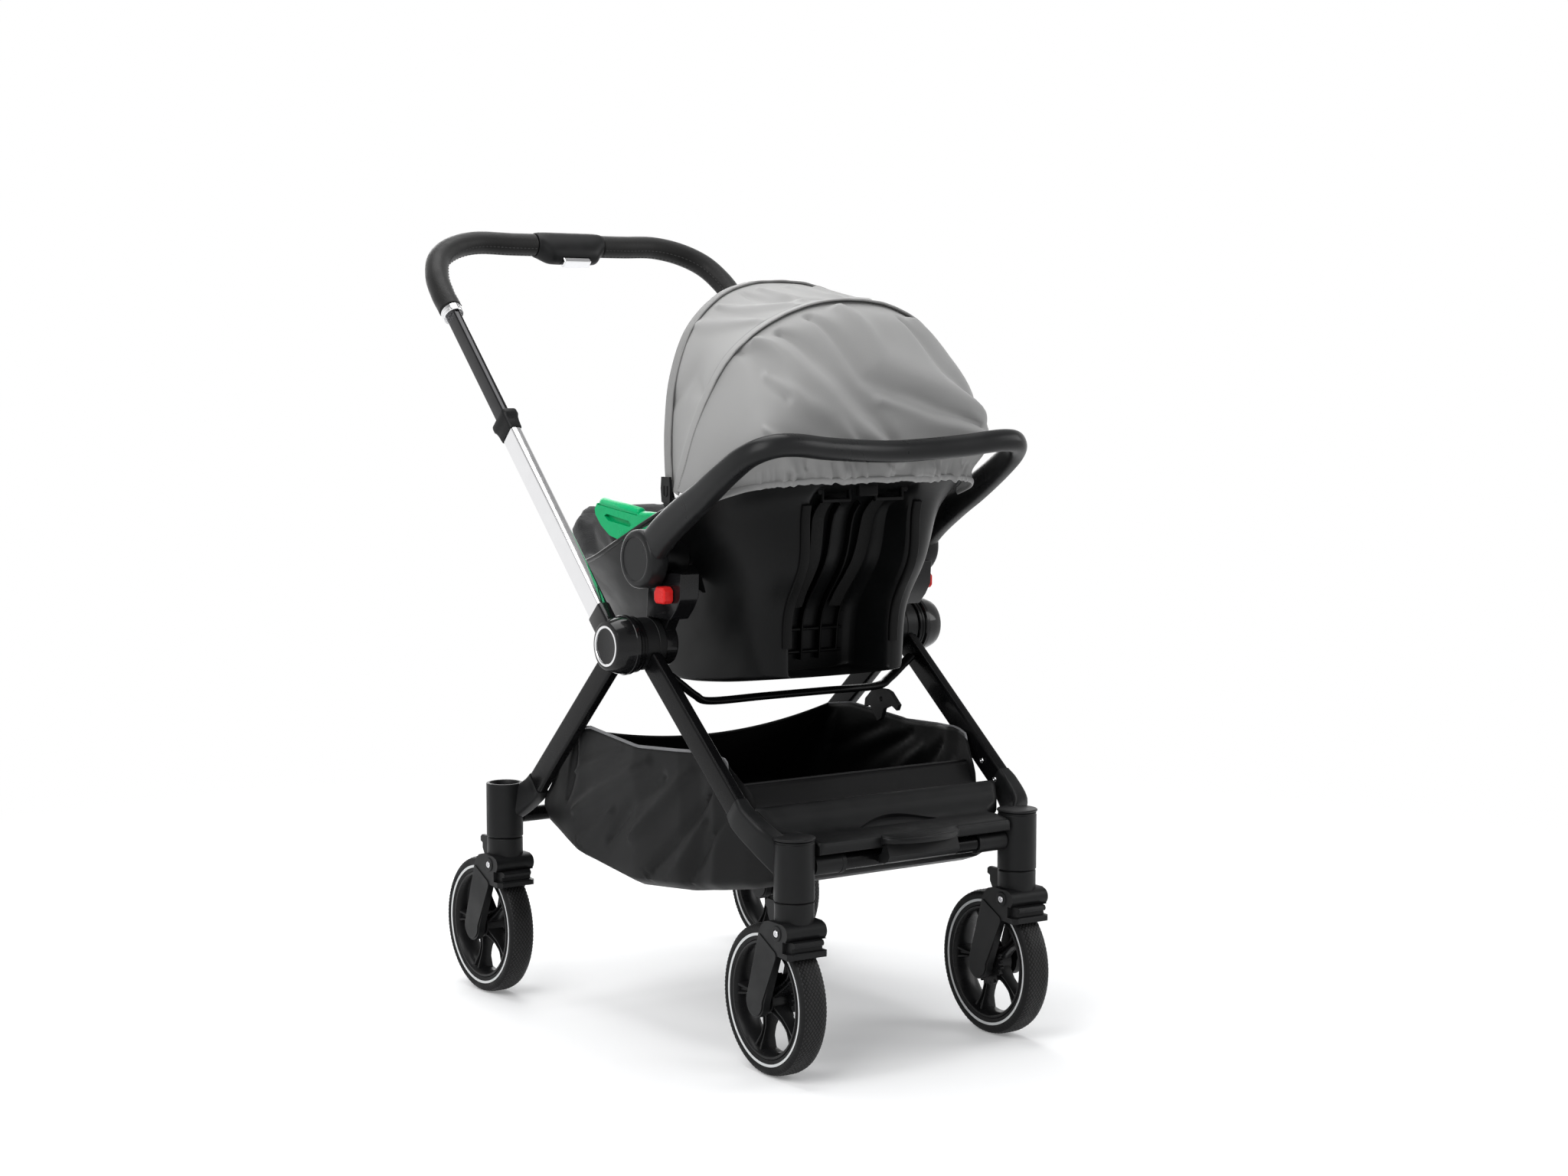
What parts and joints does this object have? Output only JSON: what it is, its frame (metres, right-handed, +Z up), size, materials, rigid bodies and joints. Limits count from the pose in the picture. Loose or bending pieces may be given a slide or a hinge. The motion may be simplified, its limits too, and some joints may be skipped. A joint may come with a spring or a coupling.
{
  "type": "travel system stroller",
  "caption": "Folding pushchair chassis on swivel casters with a telescopic push handle, cloth basket and a hooded infant carrier clipped on top.",
  "frame": {"origin": "on the ground at the centre of the bounding box of the whole stroller", "axes": "+Z up; +X to the left side of the stroller (the side with the hook); +Y from the foot plate end towards the push handle end"},
  "size_m": [0.5472, 0.8934, 1.0686],
  "materials": {
    "basket_cloth": "black woven cloth",
    "liner_cloth": "dark padded cloth",
    "hood_cloth": "smooth grey woven cloth",
    "green_plastic": "satin",
    "red_plastic": "semi gloss",
    "chrome": "polished",
    "silver": "satin silver",
    "leather": "black grained, stitched",
    "tyre": "black rubber with fine tread",
    "black_tube": "satin black",
    "gloss_plastic": "gloss black",
    "black_plastic": "fine grain black"
  },
  "bodies": {
    "chassis": {"near_leg_right": "black_tube", "near_leg_left": "black_tube", "hub_core_right": "black_plastic", "hub_core_left": "black_plastic", "near_casting_right": "black_plastic", "near_casting_left": "black_plastic", "carrier_adaptor_right": "gloss_plastic", "carrier_adaptor_left": "gloss_plastic", "foot_plate": "black_plastic", "near_cross_tube": "black_tube", "seat_bar": "black_tube", "basket": "basket_cloth"},
    "far_frame": {"far_leg_right": "black_tube", "far_leg_left": "black_tube", "far_casting_right": "black_plastic", "far_casting_left": "black_plastic", "far_cross_tube": "black_tube"},
    "push_handle": {"hub_cap_right": "black_plastic", "hub_cap_left": "black_plastic", "lower_tube_right": "chrome", "lower_tube_left": "chrome", "slide_collar_right": "black_plastic", "slide_collar_left": "black_plastic"},
    "handle_top": {"upper_tube_right": "black_tube", "upper_tube_left": "black_tube", "grip_cuff_right": "chrome", "grip_cuff_left": "chrome", "grip_right": "leather", "grip_left": "leather", "fold_housing": "black_plastic"},
    "fold_button": {"fold_button": "silver"},
    "fold_hook": {"fold_hook": "black_plastic"},
    "brake_pedal": {"brake_pedal": "black_plastic"},
    "release_button_right": {"release_button_right": "red_plastic"},
    "release_button_left": {"release_button_left": "red_plastic"},
    "carrier": {"carrier_shell": "black_plastic", "seat_liner": "liner_cloth", "belt_guide_right": "green_plastic", "belt_guide_left": "green_plastic"},
    "carrier_handle": {"carrier_handle": "black_plastic"},
    "hood_front_hoop": {"front_hoop": "black_plastic", "hood_front": "hood_cloth"},
    "hood_mid_hoop": {"mid_hoop": "black_plastic", "hood_rear": "hood_cloth"},
    "near_right_caster": {"near_right_fork": "black_plastic"},
    "near_right_lock": {"near_right_lock_tab": "gloss_plastic"},
    "near_right_wheel": {"near_right_rim": "black_plastic", "near_right_tyre": "tyre"},
    "near_left_caster": {"near_left_fork": "black_plastic"},
    "near_left_lock": {"near_left_lock_tab": "gloss_plastic"},
    "near_left_wheel": {"near_left_rim": "black_plastic", "near_left_tyre": "tyre"},
    "far_right_caster": {"far_right_fork": "black_plastic"},
    "far_right_lock": {"far_right_lock_tab": "gloss_plastic"},
    "far_right_wheel": {"far_right_rim": "black_plastic", "far_right_tyre": "tyre"},
    "far_left_caster": {"far_left_fork": "black_plastic"},
    "far_left_lock": {"far_left_lock_tab": "gloss_plastic"},
    "far_left_wheel": {"far_left_rim": "black_plastic", "far_left_tyre": "tyre"}
  },
  "joints": [
    {"name": "far_legs_fold", "type": "hinge", "parent": "chassis", "child": "far_frame", "pos_m": [0, -0.1017, 0.5159], "axis": [-1, 0, 0], "range_deg": [0, 45], "deforming": ["basket"]},
    {"name": "push_handle_swing", "type": "hinge", "parent": "chassis", "child": "push_handle", "pos_m": [0, -0.1017, 0.5159], "axis": [1, 0, 0], "range_deg": [0, 165]},
    {"name": "handle_height_slide", "type": "slide", "parent": "push_handle", "child": "handle_top", "axis": [0, 0.7043, 0.7099], "range_m": [-0.1, 0]},
    {"name": "fold_button_press", "type": "slide", "parent": "handle_top", "child": "fold_button", "axis": [0, 0.7043, 0.7099], "range_m": [0, 0.005], "stiffness_N_per_m": 600, "springref_m": -0.002},
    {"name": "brake_pedal_turn", "type": "hinge", "parent": "chassis", "child": "brake_pedal", "pos_m": [0, -0.3948, 0.265], "axis": [1, 0, 0], "range_deg": [0, 12]},
    {"name": "fold_hook_swing", "type": "hinge", "parent": "chassis", "child": "fold_hook", "pos_m": [0.148, -0.1498, 0.447], "axis": [1, 0, 0], "range_deg": [0, 20], "stiffness_Nm_per_rad": 0.1},
    {"name": "carrier_lift_off", "type": "slide", "parent": "chassis", "child": "carrier", "axis": [0, 0, 1], "range_m": [0, 0.3]},
    {"name": "carrier_handle_turn", "type": "hinge", "parent": "carrier", "child": "carrier_handle", "pos_m": [0, -0.1268, 0.628], "axis": [1, 0, 0], "range_deg": [0, 40]},
    {"name": "hood_front_turn", "type": "hinge", "parent": "hood_mid_hoop", "child": "hood_front_hoop", "pos_m": [0, -0.1523, 0.6996], "axis": [1, 0, 0], "range_deg": [0, 26], "deforming": ["hood_front"]},
    {"name": "hood_mid_turn", "type": "hinge", "parent": "carrier", "child": "hood_mid_hoop", "pos_m": [0, -0.1523, 0.6996], "axis": [1, 0, 0], "range_deg": [0, 24], "deforming": ["hood_rear"]},
    {"name": "release_button_right_press", "type": "slide", "parent": "chassis", "child": "release_button_right", "axis": [0, 0, -1], "range_m": [0, 0.005], "stiffness_N_per_m": 400, "springref_m": -0.002},
    {"name": "release_button_left_press", "type": "slide", "parent": "chassis", "child": "release_button_left", "axis": [0, 0, -1], "range_m": [0, 0.005], "stiffness_N_per_m": 400, "springref_m": -0.002},
    {"name": "near_right_swivel", "type": "hinge", "parent": "chassis", "child": "near_right_caster", "pos_m": [-0.1778, -0.3956, 0.2], "axis": [0, 0, 1], "continuous": true},
    {"name": "near_right_lock_slide", "type": "slide", "parent": "near_right_caster", "child": "near_right_lock", "axis": [0, 0, 1], "range_m": [0, 0.004]},
    {"name": "near_right_wheel_spin", "type": "hinge", "parent": "near_right_caster", "child": "near_right_wheel", "pos_m": [-0.17549, -0.35146, 0.095], "axis": [0.9986, -0.0523, 0], "continuous": true},
    {"name": "near_left_swivel", "type": "hinge", "parent": "chassis", "child": "near_left_caster", "pos_m": [0.1778, -0.3956, 0.2], "axis": [0, 0, 1], "continuous": true},
    {"name": "near_left_lock_slide", "type": "slide", "parent": "near_left_caster", "child": "near_left_lock", "axis": [0, 0, 1], "range_m": [0, 0.004]},
    {"name": "near_left_wheel_spin", "type": "hinge", "parent": "near_left_caster", "child": "near_left_wheel", "pos_m": [0.18011, -0.35146, 0.095], "axis": [0.9986, -0.0523, 0], "continuous": true},
    {"name": "far_right_swivel", "type": "hinge", "parent": "far_frame", "child": "far_right_caster", "pos_m": [-0.24465, 0.196, 0.2], "axis": [0, 0, 1], "continuous": true},
    {"name": "far_right_lock_slide", "type": "slide", "parent": "far_right_caster", "child": "far_right_lock", "axis": [0, 0, 1], "range_m": [0, 0.004]},
    {"name": "far_right_wheel_spin", "type": "hinge", "parent": "far_right_caster", "child": "far_right_wheel", "pos_m": [-0.24465, 0.2402, 0.095], "axis": [1, 0, 0], "continuous": true},
    {"name": "far_left_swivel", "type": "hinge", "parent": "far_frame", "child": "far_left_caster", "pos_m": [0.24465, 0.196, 0.2], "axis": [0, 0, 1], "continuous": true},
    {"name": "far_left_lock_slide", "type": "slide", "parent": "far_left_caster", "child": "far_left_lock", "axis": [0, 0, 1], "range_m": [0, 0.004]},
    {"name": "far_left_wheel_spin", "type": "hinge", "parent": "far_left_caster", "child": "far_left_wheel", "pos_m": [0.24465, 0.2402, 0.095], "axis": [1, 0, 0], "continuous": true}
  ],
  "couplings": [
    {"joint": "hood_mid_turn", "follows": "hood_front_turn", "ratio": 0.92}
  ]
}
